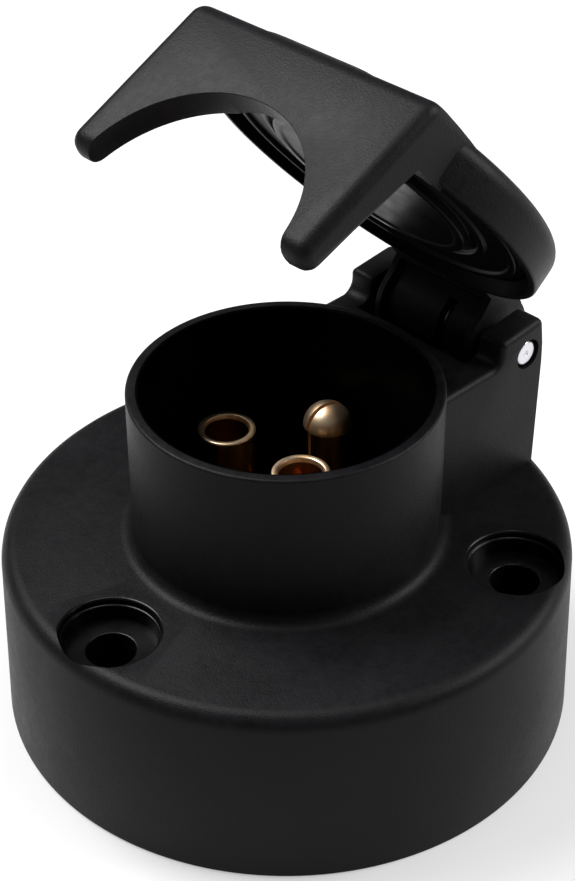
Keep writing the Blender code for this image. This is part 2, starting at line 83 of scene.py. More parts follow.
# %% [markdown]
# ## Tools for shapes
#
# A moulded part has no knife edges: the mould maker breaks each one with a small radius. It could
# be left to a shader, but then the outline stays sharp. Here each cross-section is a flat face whose
# corners are rounded by a vertex bevel, and is then spun or extruded, so the radius is in the mesh.


# %% A flat cross-section with rounded corners
def cross_section(corners, segments=5):
    """Face in the XZ plane from (x, z) or (x, z, radius) corners."""
    shape = bmesh.new()
    verts = [shape.verts.new((corner[0], 0.0, corner[1])) for corner in corners]
    shape.faces.new(verts)
    radii = {}
    for vert, corner in zip(verts, corners):
        if len(corner) > 2:
            radii.setdefault(corner[2], []).append(vert)
    for radius, members in radii.items():
        bmesh.ops.bevel(shape, geom=members, offset=radius, offset_type="OFFSET", segments=segments,
                        profile=0.5, affect="VERTICES", material=-1, clamp_overlap=True)
    return shape


# %% Spin a cross-section about a vertical axis
def turned(corners, steps=144, centre=(0.0, 0.0), segments=5):
    """The corners are (radius, z) or (radius, z, rounding), from the axis and back to it."""
    shape = cross_section(corners, segments)
    bmesh.ops.delete(shape, geom=shape.faces[:], context="FACES_ONLY")
    on_axis = [edge for edge in shape.edges if max(abs(vert.co.x) for vert in edge.verts) < 1e-7]
    bmesh.ops.delete(shape, geom=on_axis, context="EDGES")
    bmesh.ops.spin(shape, geom=shape.verts[:] + shape.edges[:], angle=2 * math.pi, steps=steps,
                   axis=(0, 0, 1), cent=(0, 0, 0), use_merge=True)
    bmesh.ops.remove_doubles(shape, verts=shape.verts, dist=1e-6)
    bmesh.ops.translate(shape, verts=shape.verts, vec=(centre[0], centre[1], 0.0))
    return shape


# %% Extrude a cross-section along X
def extruded(corners, low, high, segments=5):
    """The corners are (y, z) or (y, z, radius)."""
    shape = cross_section(corners, segments)
    turn = Matrix.Translation((low, 0.0, 0.0)) @ Matrix.Rotation(math.radians(90), 4, "Z")
    bmesh.ops.transform(shape, matrix=turn, verts=shape.verts)
    grown = bmesh.ops.extrude_face_region(shape, geom=shape.faces[:])
    moved = [part for part in grown["geom"] if isinstance(part, bmesh.types.BMVert)]
    bmesh.ops.translate(shape, verts=moved, vec=(high - low, 0.0, 0.0))
    bmesh.ops.recalc_face_normals(shape, faces=shape.faces)
    return shape


# %% [markdown]
# Rods and boxes are the usual starting shapes for holes and slots. `soften` breaks the sharp edges
# that a predicate picks, which is how a toolmaker would list them: these edges get this radius.


# %% Rods, boxes and softened edges
def rod(radius, length, centre, direction=(0, 0, 1), steps=64, end_radius=None):
    """Round bar about its centre, which tapers if its far end has another radius."""
    turn = Vector((0, 0, 1)).rotation_difference(Vector(direction)).to_matrix().to_4x4()
    shape = bmesh.new()
    bmesh.ops.create_cone(shape, cap_ends=True, segments=steps, radius1=radius,
                          radius2=end_radius or radius, depth=length,
                          matrix=Matrix.Translation(centre) @ turn)
    return shape


def block(low, high):
    """Box between two corners."""
    size = [b - a for a, b in zip(low, high)]
    middle = [(a + b) / 2 for a, b in zip(low, high)]
    shape = bmesh.new()
    stretch = Matrix.Diagonal((*size, 1.0))
    bmesh.ops.create_cube(shape, size=1.0, matrix=Matrix.Translation(middle) @ stretch)
    return shape


def soften(shape, radius, picked=lambda edge: True, segments=3, sharpest=30):
    """Round the picked edges that turn by more than an angle, and say how many there were."""
    edges = [edge for edge in shape.edges
             if edge.is_manifold and edge.calc_face_angle() > math.radians(sharpest) and picked(edge)]
    bmesh.ops.bevel(shape, geom=edges, offset=radius, offset_type="OFFSET", segments=segments,
                    profile=0.5, affect="EDGES", material=-1, clamp_overlap=True)
    return len(edges)


def across(edge):
    """How far an edge runs along X."""
    return abs(edge.verts[0].co.x - edge.verts[1].co.x)


# %% [markdown]
# A shape becomes an object once its doubles are merged and its faces point outwards. Holes and
# added lumps are Booleans. The cutter brings its own finish along, so the polished walls of a bore
# end exactly where the cutter ends, with no mask to keep in step.


# %% Objects and Booleans
def finish_mesh(name, shape, material):
    """Object from a finished shape, which is used up."""
    bmesh.ops.remove_doubles(shape, verts=shape.verts, dist=1e-7)
    bmesh.ops.recalc_face_normals(shape, faces=shape.faces)
    mesh = bpy.data.meshes.new(name)
    shape.to_mesh(mesh)
    shape.free()
    mesh.materials.append(material)
    item = bpy.data.objects.new(name, mesh)
    bpy.context.scene.collection.objects.link(item)
    return item


def combine(item, shape, operation, material=None):
    """Boolean with a shape, which brings a material of its own or takes that of the item."""
    tool = finish_mesh("tool", shape, material or item.data.materials[0])
    modifier = item.modifiers.new("combine", "BOOLEAN")
    modifier.operation = operation
    modifier.solver = "EXACT"
    modifier.material_mode = "TRANSFER"
    modifier.object = tool
    graph = bpy.context.evaluated_depsgraph_get()
    mesh = bpy.data.meshes.new_from_object(item.evaluated_get(graph))
    item.modifiers.clear()
    old = item.data
    item.data = mesh
    bpy.data.meshes.remove(old)
    bpy.data.objects.remove(tool, do_unlink=True)
    return item


def smooth(item, angle=32):
    """Smooth shading that stays sharp where two faces meet at more than this angle."""
    mesh = item.data
    mesh.shade_smooth()
    mesh.set_sharp_from_angle(angle=math.radians(angle))
    triangles = sum(len(face.vertices) - 2 for face in mesh.polygons)
    print(item.name, len(mesh.vertices), "points,", triangles, "triangles")
    return item


def place(item, node, body, slot, *more_nodes):
    """Ride on a body and stand for CAD nodes. The slot is not used."""
    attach(item, body)
    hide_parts(node, *more_nodes)
    return item


def finish_above(item, height, material):
    """Give the faces above a height a second finish."""
    item.data.materials.append(material)
    for face in item.data.polygons:
        if face.center.z > height:
            face.material_index = 1


def open_lid(item):
    """Turn a mesh that was drawn with the lid shut to the open position."""
    turn = Matrix.Translation(HINGE) @ Matrix.Rotation(-OPENING, 4, "X") @ Matrix.Translation(-HINGE)
    item.data.transform(turn)
    return item


# %% [markdown]
# ## Tools for materials
#
# Colours are written as the sRGB hex values that a paint chart would give, and turned to linear
# light by one function. One small function adds a node with its settings, its values and its links.


# %% Colour and node helpers
def linear(code):
    """Linear light from an sRGB hex value."""
    parts = [int(code[i:i + 2], 16) / 255 for i in (0, 2, 4)]
    return (*[v / 12.92 if v <= 0.04045 else ((v + 0.055) / 1.055) ** 2.4 for v in parts], 1.0)


def add_node(material, kind, values=None, links=None, **settings):
    """Node with its settings, its input values and its links."""
    node = material.node_tree.nodes.new(kind)
    for key, value in settings.items():
        setattr(node, key, value)
    for key, value in (values or {}).items():
        node.inputs[key].default_value = value
    for key, source in (links or {}).items():
        material.node_tree.links.new(source, node.inputs[key])
    return node


def new_material(name, values):
    """Material with plain shader values, its shader, and the place on the object for its textures."""
    material = bpy.data.materials.new(name)
    material.use_nodes = True
    shader = material.node_tree.nodes["Principled BSDF"]
    for key, value in values.items():
        shader.inputs[key].default_value = value
    position = add_node(material, "ShaderNodeTexCoord").outputs["Object"]
    return material, shader, position


def drive(material, shader, **sources):
    """Link shader inputs, written with _ for a space, to the outputs that drive them."""
    for key, source in sources.items():
        material.node_tree.links.new(source, shader.inputs[key.replace("_", " ")])


def mixed(material, factor, low, high):
    """Colour between two hex values."""
    mix = add_node(material, "ShaderNodeMix", data_type="RGBA")
    mix.inputs[6].default_value = linear(low)
    mix.inputs[7].default_value = linear(high)
    material.node_tree.links.new(factor, mix.inputs[0])
    return mix.outputs[2]


def ranged(material, source, low, high, start=0.3, end=0.7):
    """A noise value spread over a range, for roughness and masks."""
    node = add_node(material, "ShaderNodeMapRange", {"From Min": start, "From Max": end,
                                                     "To Min": low, "To Max": high}, {"Value": source})
    return node.outputs["Result"]


# %% [markdown]
# Two things come back in every finish: a noise with a grain of a known size in millimetres, and a
# relief of a known depth. Each has its own function, so a finish below reads as a short recipe.


# %% Grain and relief
def noise(material, position, size, detail=2.0, roughness=0.5):
    """Noise whose grain has about the given size, in metres."""
    node = add_node(material, "ShaderNodeTexNoise",
                    {"Scale": 1 / size, "Detail": detail, "Roughness": roughness}, {"Vector": position})
    return node.outputs["Fac"]


def relief(material, height, strength, depth):
    """Normal of a surface raised by a height value, up to a depth in metres."""
    node = add_node(material, "ShaderNodeBump", {"Strength": strength, "Distance": depth},
                    {"Height": height})
    return node.outputs["Normal"]


# %% [markdown]
# The housing and lid are glass-filled nylon, moulded in a spark-eroded tool. That tool leaves a fine
# pebble of about 0.2 mm, which is why the plastic is a soft grey under light rather than a mirror.
# A second, slower cloud changes colour and gloss a little, as handling and flow lines do.


# %% Spark-eroded black nylon
def textured_nylon():
    material, shader, position = new_material("spark_eroded_nylon",
                                              {"IOR": 1.5, "Specular IOR Level": 0.1})
    pebble = noise(material, position, 0.24 * MM, 2.0, 0.6)
    cloud = noise(material, position, 7 * MM, 4.0, 0.6)
    mottle = noise(material, position, 0.9 * MM, 3.0, 0.7)
    half_mottle = add_node(material, "ShaderNodeMath", {1: 0.5}, {0: mottle}, operation="MULTIPLY")
    half_cloud = add_node(material, "ShaderNodeMath", {1: 0.5}, {0: cloud}, operation="MULTIPLY")
    both = add_node(material, "ShaderNodeMath", {}, {0: half_mottle.outputs[0], 1: half_cloud.outputs[0]},
                    operation="ADD").outputs[0]
    drive(material, shader,
          Base_Color=mixed(material, ranged(material, both, 0.0, 1.0, 0.38, 0.62), "0c0b0d", "131214"),
          Roughness=ranged(material, both, 0.4, 0.5, 0.36, 0.64),
          Normal=relief(material, pebble, 0.8, 0.05 * MM))
    return material


# %% [markdown]
# The screw seats come off polished core pins, so the same nylon is glossy there and keeps only the
# faint ripple of the melt. The bore of the cup and the inside of the lid get a darker copy with almost
# no shine: painted shade for these recesses. The carrier is a duller black again, so one recipe takes
# the shine as a value.


# %% Polished black nylon
def polished_nylon(name, low, high, gloss, shine):
    material, shader, position = new_material(name, {"IOR": 1.35, "Specular IOR Level": shine})
    cloud = noise(material, position, 3 * MM, 3.0)
    ripple = noise(material, position, 0.8 * MM)
    drive(material, shader, Base_Color=mixed(material, cloud, low, high),
          Roughness=ranged(material, cloud, gloss, gloss + 0.12),
          Normal=relief(material, ripple, 0.25, 0.02 * MM))
    return material


# %% [markdown]
# The lid seal is moulded nitrile rubber. It is smooth and black, and it mirrors so little that only
# its ribs show.


# %% Nitrile rubber
def nitrile_rubber():
    material, shader, position = new_material("moulded_nitrile_rubber",
                                              {"IOR": 1.12, "Specular IOR Level": 0.5})
    bloom = noise(material, position, 4 * MM, 4.0, 0.65)
    skin = noise(material, position, 0.4 * MM)
    drive(material, shader, Base_Color=mixed(material, bloom, "060607", "0c0c0d"),
          Roughness=ranged(material, bloom, 0.24, 0.4),
          Normal=relief(material, skin, 0.2, 0.02 * MM))
    return material


# %% [markdown]
# The contacts are turned from brass bar. A lathe leaves fine rings, about 0.3 mm apart, and thin oxide
# makes the brass browner in patches. The rings are drawn by a wave along the axis of the cup, which
# is the direction of every contact. The mouth of a tube and the dome of the pin get a paler, more
# satin copy of the brass: a painted highlight where they catch the light.


# %% Turned brass
def turned_brass(name, low, high, gloss):
    material, shader, position = new_material(name, {"Metallic": 1.0})
    rings = add_node(material, "ShaderNodeTexWave",
                     {"Scale": 1 / (0.9 * MM), "Distortion": 0.6, "Detail": 2.0, "Detail Scale": 1.5},
                     {"Vector": position}, wave_type="BANDS", bands_direction="Z").outputs["Fac"]
    oxide = noise(material, position, 1.6 * MM)
    drive(material, shader,
          Base_Color=mixed(material, ranged(material, oxide, 0.0, 1.0, 0.42, 0.7), low, high),
          Roughness=ranged(material, oxide, gloss, gloss + 0.12),
          Normal=relief(material, rings, 0.08, 0.012 * MM))
    return material


# %% [markdown]
# The pin and the screws are zinc plated: a bright, slightly cloudy white metal. The spring is drawn
# wire, darker, with the oil still on it.


# %% Plated steel and spring wire
def plated_steel(name, low, high, gloss):
    material, shader, position = new_material(name, {"Metallic": 1.0})
    cloud = noise(material, position, 0.7 * MM, 4.0, 0.6)
    drive(material, shader, Base_Color=mixed(material, cloud, low, high),
          Roughness=ranged(material, cloud, gloss, gloss + 0.14),
          Normal=relief(material, cloud, 0.3, 0.01 * MM))
    return material


# %% All the finishes
nylon = textured_nylon()
gloss_nylon = polished_nylon("polished_nylon", "050506", "09090a", 0.22, 0.3)
# painted shade: a darker, nearly shineless copy of the nylon for the bore of the cup and the hollow of the
# lid
painted_shade_nylon = polished_nylon("painted_shade_nylon", "030303", "060606", 0.3, 0.02)
carrier_plastic = polished_nylon("carrier_nylon", "040404", "080808", 0.45, 0.05)
rubber = nitrile_rubber()
brass = turned_brass("turned_brass", "d6ab72", "aa804a", 0.15)
# painted highlight: a paler, more satin copy of the brass for the tube mouths and the pin dome
highlight_brass = turned_brass("highlight_brass", "fbdebc", "ecc594", 0.34)
zinc = plated_steel("zinc_plated_steel", "c9c9d0", "e4e4ea", 0.24)
wire_steel = plated_steel("oiled_spring_wire", "77777c", "9a9aa0", 0.2)
print("finishes", [material.name for material in bpy.data.materials])

# %% [markdown]
# ## Housing
#
# The base and the cup are one moulding. Round parts are best spun from a half section, with every
# radius already in it. The hinge block is not round, so it is extruded from its side view, its
# slot is cut and its edges broken, and only then is it joined on. The holes come last, so that they
# cut through both.

# %% Housing sizes
BASE_FOOT, BASE_RADIUS, BASE_HEIGHT = 34.2 * MM, 33.5 * MM, 22.9 * MM
CUP_RADIUS, CUP_BORE = 18.05 * MM, 16.55 * MM
CEILING = BASE_HEIGHT - 3.0 * MM
SKIRT_RADIUS, SKIRT_END = 20.2 * MM, 14.8 * MM
LIP = 0.35 * MM
HEAD_ROOM, SEAT = 5.65 * MM, BASE_HEIGHT - 2.7 * MM
PIN_BORE = 1.9 * MM
LUG_X, LUG_HOLE = 21.8 * MM, 1.35 * MM


def on_circle(radius, angle):
    """Place on a circle about the axis of the cup, from an angle in degrees."""
    return radius * math.cos(math.radians(angle)), radius * math.sin(math.radians(angle))


FIXINGS = [on_circle(27.3 * MM, angle) for angle in (270, 30, 150)]
print("cup top", round(CUP_TOP / MM, 2), "mm")

# %% Base and cup
housing = finish_mesh("housing_moulding", turned([
    (31.8 * MM, 0.0, 0.3 * MM), (BASE_FOOT, 0.0, 0.3 * MM), (BASE_RADIUS, BASE_HEIGHT, 1.9 * MM),
    (CUP_RADIUS, BASE_HEIGHT, 1.6 * MM), (CUP_RADIUS, CUP_TOP, LIP), (0.0, CUP_TOP),
    (0.0, SKIRT_END), (SKIRT_RADIUS, SKIRT_END), (SKIRT_RADIUS, CEILING), (31.1 * MM, CEILING)],
    180), nylon)
print("base and cup spun:", len(housing.data.vertices), "points")

# %% [markdown]
# The hinge block has a shelf just under the rim of the cup and an ear on each side for the pin. The
# outer edges carry a larger radius than the inner ones, because the outer ones get handled.

# %% Hinge block
BLOCK_HALF, SLOT_HALF = 12.3 * MM, 8.6 * MM
SHELF, EAR_TOP = 40.0 * MM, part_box("housing")[1].z
EAR_FRONT, EAR_FRONT_TOP = 23.0 * MM, 42.9 * MM
BLOCK_BACK, BLOCK_TOP_BACK = 29.9 * MM, 30.5 * MM
SLOT_FRONT, SLOT_FLOOR = 20.8 * MM, 33.6 * MM
BLOCK_FOOT = BASE_HEIGHT - 1.4 * MM
hinge_block = extruded([
    (5 * MM, BLOCK_FOOT), (BLOCK_BACK, BLOCK_FOOT), (BLOCK_TOP_BACK, EAR_TOP, 1.2 * MM),
    (EAR_FRONT, EAR_FRONT_TOP, 0.7 * MM), (EAR_FRONT, SHELF, 1.5 * MM), (5 * MM, SHELF)],
    -BLOCK_HALF, BLOCK_HALF)
count = soften(hinge_block, 0.8 * MM, lambda edge: across(edge) < 1e-7 and edge.verts[0].co.z > BASE_HEIGHT)
block_item = finish_mesh("hinge_block", hinge_block, nylon)
slot = block((-SLOT_HALF, SLOT_FRONT, SLOT_FLOOR), (SLOT_HALF, 40 * MM, 50 * MM))
combine(block_item, slot, "DIFFERENCE")
with_slot = bmesh.new()
with_slot.from_mesh(block_item.data)
count += soften(with_slot, 0.35 * MM, lambda edge: all(
    abs(abs(vert.co.x) - SLOT_HALF) < 1e-6 or abs(vert.co.y - SLOT_FRONT) < 1e-6
    for vert in edge.verts), 2)
bpy.data.objects.remove(block_item, do_unlink=True)
combine(housing, with_slot, "UNION")
print("hinge block joined,", count, "edges softened")

# %% [markdown]
# Bosses around the fixing holes and two lugs for the carrier screws stand inside the base. They are
# plain rods that reach up into the top plate.

# %% Bosses and lugs
for x, y in FIXINGS:
    combine(housing, rod(5.2 * MM, CEILING + 0.3 * MM, (x, y, CEILING / 2 + 0.15 * MM)), "UNION")
length = CEILING + 0.3 * MM - SKIRT_END
for side in (-1, 1):
    combine(housing, rod(2.9 * MM, length, (side * LUG_X, 0.0, SKIRT_END + length / 2)), "UNION")
print("bosses and lugs joined")

# %% [markdown]
# The bore of the cup and the three screw seats have finishes of their own, which their cutters
# bring; the bore's is painted shade. Each cutter flares at the top, so the edge it leaves is rounded in
# the same stroke. The hinge block is cored from below, as a moulder would do to keep its walls even,
# and the pin bore runs through both ears.

# %% Bore, screw seats and pin bore
# the bore of the cup takes the painted shade nylon
combine(housing, turned([
    (0.0, 9 * MM), (CUP_BORE, 9 * MM), (CUP_BORE, CUP_TOP, LIP), (CUP_BORE + 3 * MM, CUP_TOP),
    (CUP_BORE + 3 * MM, CUP_TOP + 5 * MM), (0.0, CUP_TOP + 5 * MM)], 180), "DIFFERENCE", painted_shade_nylon)
for centre in FIXINGS:
    combine(housing, turned([
        (0.0, -5 * MM), (2.8 * MM, -5 * MM), (2.8 * MM, SEAT, 0.2 * MM), (5.4 * MM, SEAT),
        (5.4 * MM, BASE_HEIGHT - 0.9 * MM, 0.12 * MM), (HEAD_ROOM, BASE_HEIGHT - 0.8 * MM, 0.08 * MM),
        (HEAD_ROOM, BASE_HEIGHT, LIP), (7 * MM, BASE_HEIGHT), (7 * MM, BASE_HEIGHT + 3 * MM),
        (0.0, BASE_HEIGHT + 3 * MM)], 72, centre), "DIFFERENCE", gloss_nylon)
for side in (-1, 1):
    combine(housing, rod(LUG_HOLE, 8 * MM, (side * LUG_X, 0.0, SKIRT_END), steps=32), "DIFFERENCE")
combine(housing, rod(PIN_BORE, 30 * MM, HINGE, (1, 0, 0), 48), "DIFFERENCE")
core = block((-9.6 * MM, 20.6 * MM, CEILING - 2 * MM), (9.6 * MM, 27.1 * MM, 30.5 * MM))
combine(housing, core, "DIFFERENCE")
smooth(housing)
place(housing, "housing", "housing", "moulded_plastic")

# %% [markdown]
# ## Lid
#
# The lid is a shallow cap with a forked claw in front that hooks over a plug, and a web and knuckle
# behind. The claw is a bent plate, so it is extruded from its side view, and the edges of its two
# sides are rounded. Then the round bite is cut out, the edges that are left are broken, and the claw
# joins the cap, which is cut back to make room for it.

# %% Lid sizes
LID_RADIUS, LID_INNER = 21.9 * MM, 20.1 * MM
LID_RIM, LID_TOP = HINGE.z + 2.6 * MM, HINGE.z + 8.15 * MM
LID_CEILING = 45.2 * MM
TILT = math.radians(11.9)
along = Vector((-math.sin(TILT), -math.cos(TILT)))
outward = Vector((-math.cos(TILT), math.sin(TILT)))
root = Vector((-20.3 * MM, 47.65 * MM))
REACH = 21.6 * MM
CLAW_HALF = 17.4 * MM

# %% Cap
lid = finish_mesh("lid_moulding", turned([
    (0.0, LID_TOP), (LID_RADIUS, LID_TOP, 2.2 * MM),
    (LID_RADIUS, LID_RIM, 0.35 * MM), (0.0, LID_RIM)], 180, segments=8), nylon)
near, far = root - outward * 1.2 * MM, root + outward * 6 * MM
above, below = along * -2 * MM, along * 9 * MM
slab = extruded([tuple(near + above), tuple(near + below), tuple(far + below), tuple(far + above)],
                0.5 * MM - CLAW_HALF, CLAW_HALF - 0.5 * MM)
combine(lid, slab, "DIFFERENCE")
print("cap spun and cut back for the claw:", len(lid.data.vertices), "points")


# %% Claw
def in_front(edge):
    """Whether an edge belongs to the claw and not to the part of it inside the cap."""
    return max(vert.co.y for vert in edge.verts) < -6 * MM


tip = root + along * REACH
tip_inner = tip - outward * 3.8 * MM
bend_inner = root + along * (root.y - LID_RIM) - outward * 4.6 * MM
claw_plate = extruded([
    (-2 * MM, root.y), (root.x, root.y, 1.7 * MM), (*tip, 1.7 * MM), (*tip_inner, 1.6 * MM),
    tuple(bend_inner), (-2 * MM, LID_RIM)], -CLAW_HALF, CLAW_HALF)
count = soften(claw_plate, 1.4 * MM, lambda edge: across(edge) < 1e-7 and in_front(edge), 5)
claw = finish_mesh("claw", claw_plate, nylon)
bite = root + along * 22.4 * MM
bite_cutter = rod(16.6 * MM, 21.4 * MM, (0.0, bite.x, bite.y), (0.0, outward.x, outward.y), 120, 11.4 * MM)
combine(claw, bite_cutter, "DIFFERENCE")
claw_shape = bmesh.new()
claw_shape.from_mesh(claw.data)
bpy.data.objects.remove(claw, do_unlink=True)
count += soften(claw_shape, 0.6 * MM, in_front, 3, 40)
combine(lid, claw_shape, "UNION")
print("claw joined,", count, "edges softened")

# %% [markdown]
# The web is a short arm between the wall of the cap and the barrel that turns on the pin. A thin
# cheek stands proud at each side of it. The recess between the cheeks, the room for the spring and the
# slit for its front leg are cut first. The hollow of the lid comes last, so it cuts through all of it.

# %% Web, barrel and cheeks
KNUCKLE_HALF, KNUCKLE_RADIUS, CHEEK = 7.55 * MM, 5.3 * MM, 0.9 * MM
BARREL, POCKET = 4.3 * MM, 3.5 * MM
web = extruded([
    (HINGE.y, HINGE.z), (HINGE.y, HINGE.z + KNUCKLE_RADIUS - 0.05 * MM),
    (HINGE.y - 5.5 * MM, LID_TOP - 1.9 * MM), (HINGE.y - 9.5 * MM, LID_TOP - 1.9 * MM),
    (HINGE.y - 9.5 * MM, LID_RIM), (HINGE.y - 5.8 * MM, LID_RIM),
    (HINGE.y - 5.2 * MM, HINGE.z)], -KNUCKLE_HALF, KNUCKLE_HALF)
combine(lid, web, "UNION")
barrel = rod(KNUCKLE_RADIUS, 2 * KNUCKLE_HALF, HINGE, (1, 0, 0), 72)
soften(barrel, 0.25 * MM, segments=2, sharpest=60)
combine(lid, barrel, "UNION")

# %% [markdown]
# The recess is extruded from its side view too: a straight top, and an arc that follows the barrel.
# The cheeks are what it leaves standing.

# %% Recess between the cheeks
inner = KNUCKLE_HALF - CHEEK
around = [(HINGE.y + BARREL * math.cos(math.radians(a)), HINGE.z + BARREL * math.sin(math.radians(a)))
          for a in range(180, 301, 6)]
recess = extruded([
    (HINGE.y - 4.6 * MM, LID_RIM - 0.25 * MM), *around, (HINGE.y + 4 * MM, HINGE.z - 8 * MM),
    (HINGE.y - 9 * MM, HINGE.z - 8 * MM), (HINGE.y - 9 * MM, LID_RIM - 0.25 * MM)], -inner, inner)
combine(lid, recess, "DIFFERENCE")
combine(lid, rod(POCKET, 6.3 * MM, (-0.15 * MM, HINGE.y, HINGE.z), (1, 0, 0), 48), "DIFFERENCE")
combine(lid, block((-3.2 * MM, HINGE.y - 1.5 * MM, HINGE.z - 7 * MM),
                   (2.94 * MM, HINGE.y + 3.2 * MM, HINGE.z - 0.2 * MM)), "DIFFERENCE")
combine(lid, block((1.5 * MM, HINGE.y - 8.4 * MM, HINGE.z - 7.4 * MM),
                   (2.9 * MM, HINGE.y - 1 * MM, HINGE.z + 1.1 * MM)), "DIFFERENCE")
combine(lid, rod(PIN_BORE, 30 * MM, HINGE, (1, 0, 0), 40), "DIFFERENCE")

# %% [markdown]
# The hollow of the lid has a wide sloping mouth, which makes the wall thin at its rim. The second
# cutter is a plain rod a little wider than the cup, so that the web clears the cup as the lid shuts.

# %% Hollow and clearance over the cup
# the hollow of the lid takes the painted shade nylon
combine(lid, turned([
    (0.0, LID_RIM - 2 * MM), (LID_INNER + 1 * MM, LID_RIM - 2 * MM), (LID_INNER + 1 * MM, LID_RIM),
    (LID_INNER, LID_RIM + 1.4 * MM), (LID_INNER, LID_CEILING), (0.0, LID_CEILING)], 180),
    "DIFFERENCE", painted_shade_nylon)
combine(lid, rod(18.6 * MM, 30 * MM, (0, 0, LID_RIM - 14.9 * MM), steps=180), "DIFFERENCE")
open_lid(lid)
smooth(lid)
place(lid, "lid", "lid", "moulded_plastic")

# %% [markdown]
# ## Lid seal
#
# The seal is a rubber disc pressed into the lid. Its middle dips into the cup and the ribs round it
# meet the rim. All of it is round, so one spun section gives every rib and groove.

# %% Rubber disc with ribs
FACE = CUP_TOP + 0.3 * MM
BACK = LID_CEILING - 0.3 * MM
GROOVE = FACE + 0.5 * MM
seal = finish_mesh("lid_seal_disc", turned([
    (0.0, LID_RIM + 0.25 * MM), (11.2 * MM, LID_RIM + 0.2 * MM, 0.2 * MM),
    (11.6 * MM, LID_RIM, 0.15 * MM), (12.6 * MM, LID_RIM, 0.3 * MM), (12.6 * MM, GROOVE, 0.2 * MM),
    (13.8 * MM, GROOVE, 0.2 * MM), (13.9 * MM, FACE, 0.25 * MM), (14.8 * MM, FACE, 0.25 * MM),
    (14.9 * MM, GROOVE, 0.2 * MM), (17.8 * MM, GROOVE, 0.2 * MM), (18.0 * MM, FACE, 0.25 * MM),
    (18.8 * MM, FACE, 0.25 * MM), (18.95 * MM, FACE + 0.7 * MM, 0.15 * MM),
    (19.75 * MM, FACE + 0.7 * MM, 0.15 * MM), (19.75 * MM, BACK), (0.0, BACK)], 160, segments=4), rubber)
open_lid(seal)
smooth(seal, 40)
place(seal, "lid_seal", "lid", "rubber")

# %% [markdown]
# ## Contacts
#
# Six contacts are tubes and one is a split pin. Each one is turned from bar, so a spun section gives
# the rounded mouth, the step onto the carrier, the neck and the barrel below. Their places come from
# the frame: the middle of each CAD node's box.

# %% Tube contacts
TUBE_TOP, TUBE_RADIUS, STEP = 29.8 * MM, 3.5 * MM, 19.8 * MM
NECK, NECK_END = 3.0 * MM, 12.2 * MM
TAIL = [(NECK, STEP), (NECK, NECK_END), (TUBE_RADIUS, NECK_END, 0.2 * MM),
        (TUBE_RADIUS, 3.6 * MM, 0.3 * MM), (1.9 * MM, 3.6 * MM, 0.2 * MM), (1.9 * MM, 10.5 * MM),
        (0.0, 10.5 * MM)]


def middle_of(node):
    """Middle of a CAD node's box, seen from above."""
    low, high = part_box(node)
    return (low.x + high.x) / 2, (low.y + high.y) / 2


for number in range(1, 7):
    node = f"tube_contact_{number}"
    tube = finish_mesh(f"brass_tube_{number}", turned([
        (0.0, 21 * MM), (2.6 * MM, 21 * MM), (2.6 * MM, TUBE_TOP - 0.9 * MM, 0.3 * MM),
        (2.8 * MM, TUBE_TOP, 0.2 * MM), (TUBE_RADIUS, TUBE_TOP, 0.25 * MM), (TUBE_RADIUS, STEP), *TAIL],
        64, middle_of(node), 4), brass)
    # the mouth of the tube takes the painted highlight brass
    finish_above(tube, TUBE_TOP - 0.5 * MM, highlight_brass)
    smooth(tube)
    place(tube, node, "housing", "brass")

# %% [markdown]
# The pin has a domed end and a saw cut across it, so that it springs in the hole of the plug. The
# dome is a quarter ellipse in the section, and the cut is a thin box turned to its angle.

# %% Split pin contact
PIN_TIP, PIN_HEAD, PIN_SHANK = 32.3 * MM, 2.95 * MM, 2.6 * MM
SHOULDER = 29.4 * MM
rise = PIN_TIP - SHOULDER
dome = [(PIN_HEAD * math.sin(math.radians(a)), SHOULDER + rise * math.cos(math.radians(a)))
        for a in range(0, 90, 10)]
pin_place = middle_of("pin_contact")
pin = finish_mesh("brass_split_pin", turned([
    *dome, (PIN_HEAD, SHOULDER, 0.1 * MM), (PIN_SHANK, SHOULDER - 0.3 * MM), (PIN_SHANK, STEP), *TAIL],
    72, pin_place, 4), brass)
saw_cut = block((-4 * MM, -0.28 * MM, 22 * MM), (4 * MM, 0.28 * MM, PIN_TIP + 3 * MM))
saw_turn = Matrix.Translation((*pin_place, 0.0)) @ Matrix.Rotation(math.radians(78), 4, "Z")
bmesh.ops.transform(saw_cut, verts=saw_cut.verts, matrix=saw_turn)
combine(pin, saw_cut, "DIFFERENCE")
# the dome of the pin takes the painted highlight brass
finish_above(pin, SHOULDER - 0.2 * MM, highlight_brass)
smooth(pin)
place(pin, "pin_contact", "housing", "brass")

# %% [markdown]
# ## Carrier
#
# The carrier is the black floor of the cup: a spun disc with a flange below it, a bar across that
# the two small screws go through, and a clearance hole for each contact.

# %% Contact carrier
carrier = finish_mesh("carrier_disc", turned([
    (0.0, 12.5 * MM), (20.2 * MM, 12.5 * MM, 0.3 * MM), (20.2 * MM, 14.5 * MM), (16.2 * MM, 14.5 * MM),
    (16.2 * MM, 19.5 * MM, 0.4 * MM), (0.0, 19.5 * MM)], 144), carrier_plastic)
combine(carrier, block((-22.4 * MM, -2.8 * MM, 12.7 * MM), (22.4 * MM, 2.8 * MM, 14.3 * MM)), "UNION")
contact_nodes = ["pin_contact"] + [f"tube_contact_{number}" for number in range(1, 7)]
for node in contact_nodes:
    x, y = middle_of(node)
    combine(carrier, rod(3.3 * MM, 12 * MM, (x, y, 16 * MM), steps=48), "DIFFERENCE")
for side in (-1, 1):
    combine(carrier, rod(LUG_HOLE, 8 * MM, (side * LUG_X, 0.0, 14.5 * MM), steps=32), "DIFFERENCE")
smooth(carrier)
place(carrier, "contact_carrier", "housing", "carrier_plastic")

# %% [markdown]
# ## Hinge pin
#
# The pin is a length of plated rod with a chamfer and a small centre dimple at each end. It is spun
# like the contacts and laid along X.

